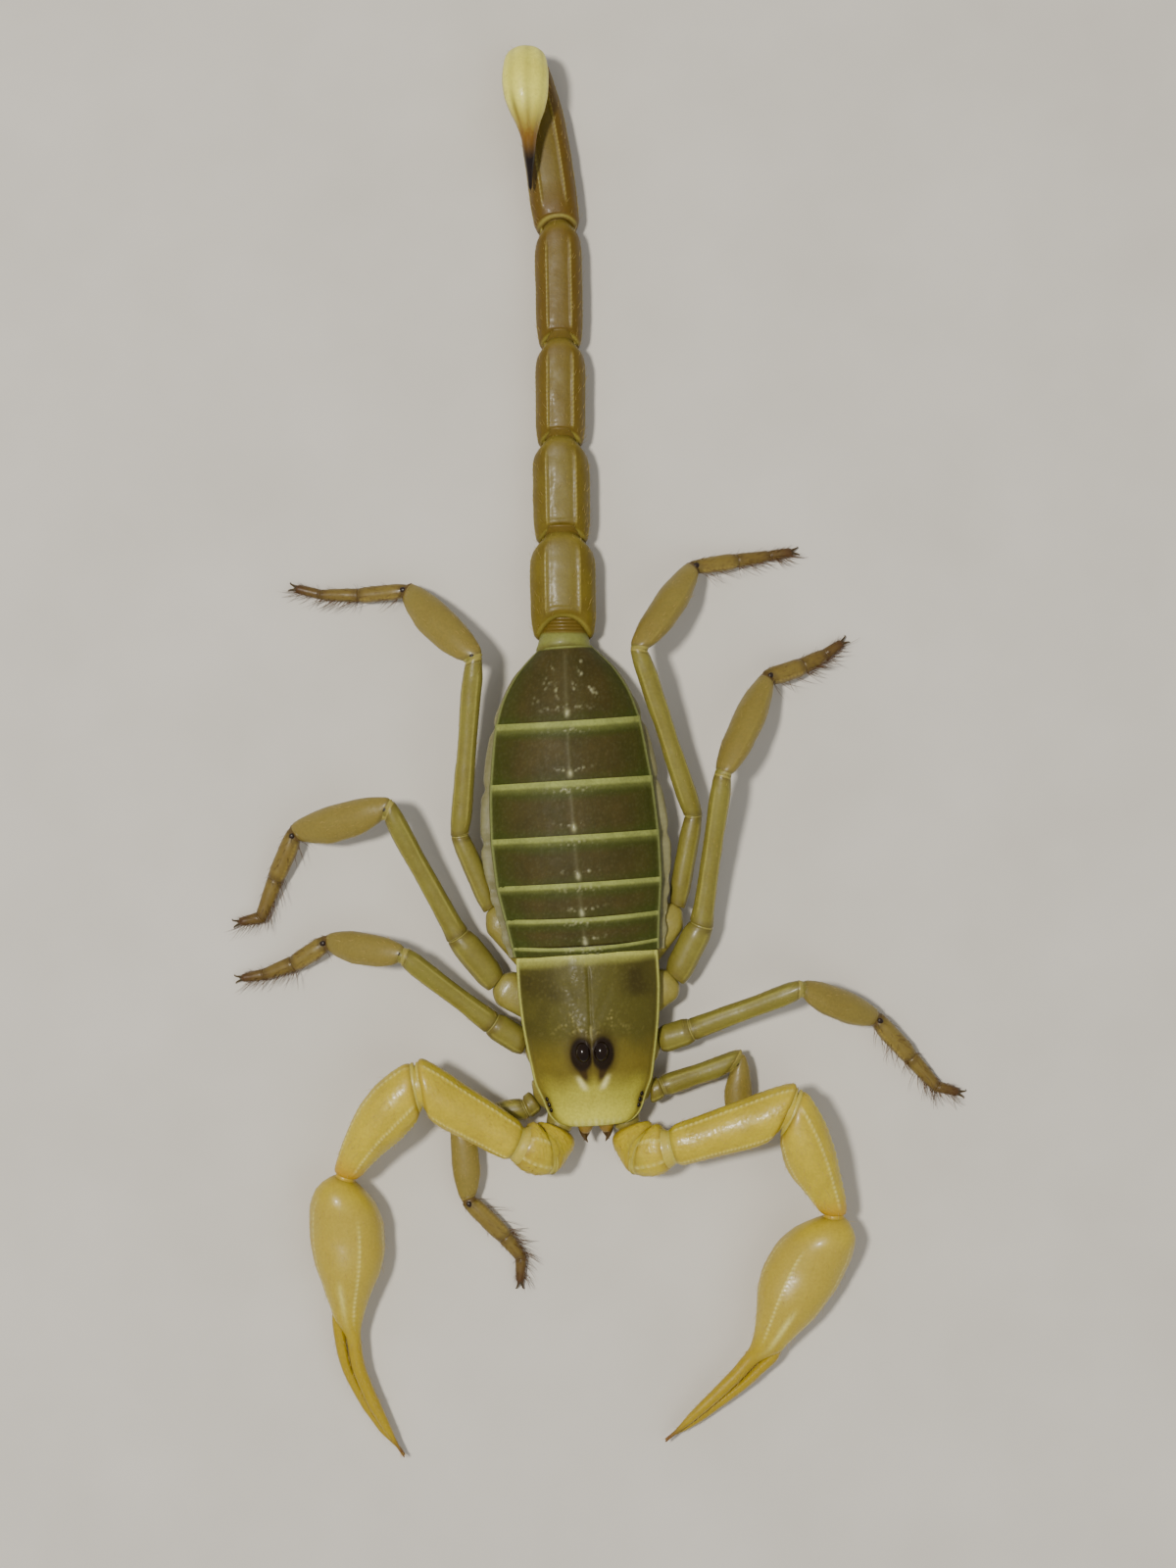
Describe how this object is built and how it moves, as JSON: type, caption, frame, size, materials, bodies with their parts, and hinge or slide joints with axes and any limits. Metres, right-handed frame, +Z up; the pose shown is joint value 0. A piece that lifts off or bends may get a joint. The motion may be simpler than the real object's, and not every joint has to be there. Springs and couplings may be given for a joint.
{
  "type": "desert scorpion",
  "caption": "Life-size still model of a pale sand scorpion, resting flat with curved pincers spread in front and the tail straight out behind.",
  "frame": {"origin": "under the middle of the whole animal's box, on the floor that it rests on", "axes": "+Y from head to tail, +X to the animal's left, +Z up"},
  "size_m": [0.042, 0.0814, 0.0058],
  "materials": {
    "carapace": "smooth olive cuticle, darker behind and pale yellow-green in front",
    "tergite": "dark olive plates with pale yellow-green rear margins, glossy",
    "soft_cuticle": "pale, soft, slightly translucent cuticle of flanks and underside",
    "eye": "glossy black lenses",
    "chelicera": "yellow-brown with darker tips",
    "leg": "glossy yellow-olive cuticle",
    "leg_tip": "brownish leg ends, bristles and claws",
    "pedipalp": "glossy yellow cuticle with low keels",
    "finger": "honey-brown fingers, darker at the tips",
    "tail": "yellow-brown cuticle with paired granular keels",
    "telson": "pale yellow vesicle with an orange-brown to black sting"
  },
  "bodies": {
    "root": {"carapace": "carapace", "chest": "soft_cuticle", "trunk": "soft_cuticle", "tergite_1": "tergite", "tergite_2": "tergite", "tergite_3": "tergite", "tergite_4": "tergite", "tergite_5": "tergite", "tergite_6": "tergite", "tergite_7": "tergite", "tail_1": "tail", "tail_2": "tail", "tail_3": "tail", "tail_4": "tail", "tail_5": "tail", "telson": "telson", "median_eye_left": "eye", "chelicera_left": "chelicera", "pectine_left": "soft_cuticle", "pedipalp_left_trochanter": "pedipalp", "pedipalp_left_femur": "pedipalp", "pedipalp_left_patella": "pedipalp", "pedipalp_left_hand": "pedipalp", "pedipalp_left_finger": "finger", "leg_1_left_femur": "leg", "leg_1_left_patella": "leg", "leg_1_left_tarsus": "leg_tip", "leg_2_left_femur": "leg", "leg_2_left_patella": "leg", "leg_2_left_tarsus": "leg_tip", "leg_3_left_femur": "leg", "leg_3_left_patella": "leg", "leg_3_left_tarsus": "leg_tip", "leg_4_left_femur": "leg", "leg_4_left_patella": "leg", "leg_4_left_tarsus": "leg_tip", "median_eye_right": "eye", "chelicera_right": "chelicera", "pectine_right": "soft_cuticle", "pedipalp_right_trochanter": "pedipalp", "pedipalp_right_femur": "pedipalp", "pedipalp_right_patella": "pedipalp", "pedipalp_right_hand": "pedipalp", "pedipalp_right_finger": "finger", "leg_1_right_femur": "leg", "leg_1_right_patella": "leg", "leg_1_right_tarsus": "leg_tip", "leg_2_right_femur": "leg", "leg_2_right_patella": "leg", "leg_2_right_tarsus": "leg_tip", "leg_3_right_femur": "leg", "leg_3_right_patella": "leg", "leg_3_right_tarsus": "leg_tip", "leg_4_right_femur": "leg", "leg_4_right_patella": "leg", "leg_4_right_tarsus": "leg_tip"}
  },
  "joints": []
}
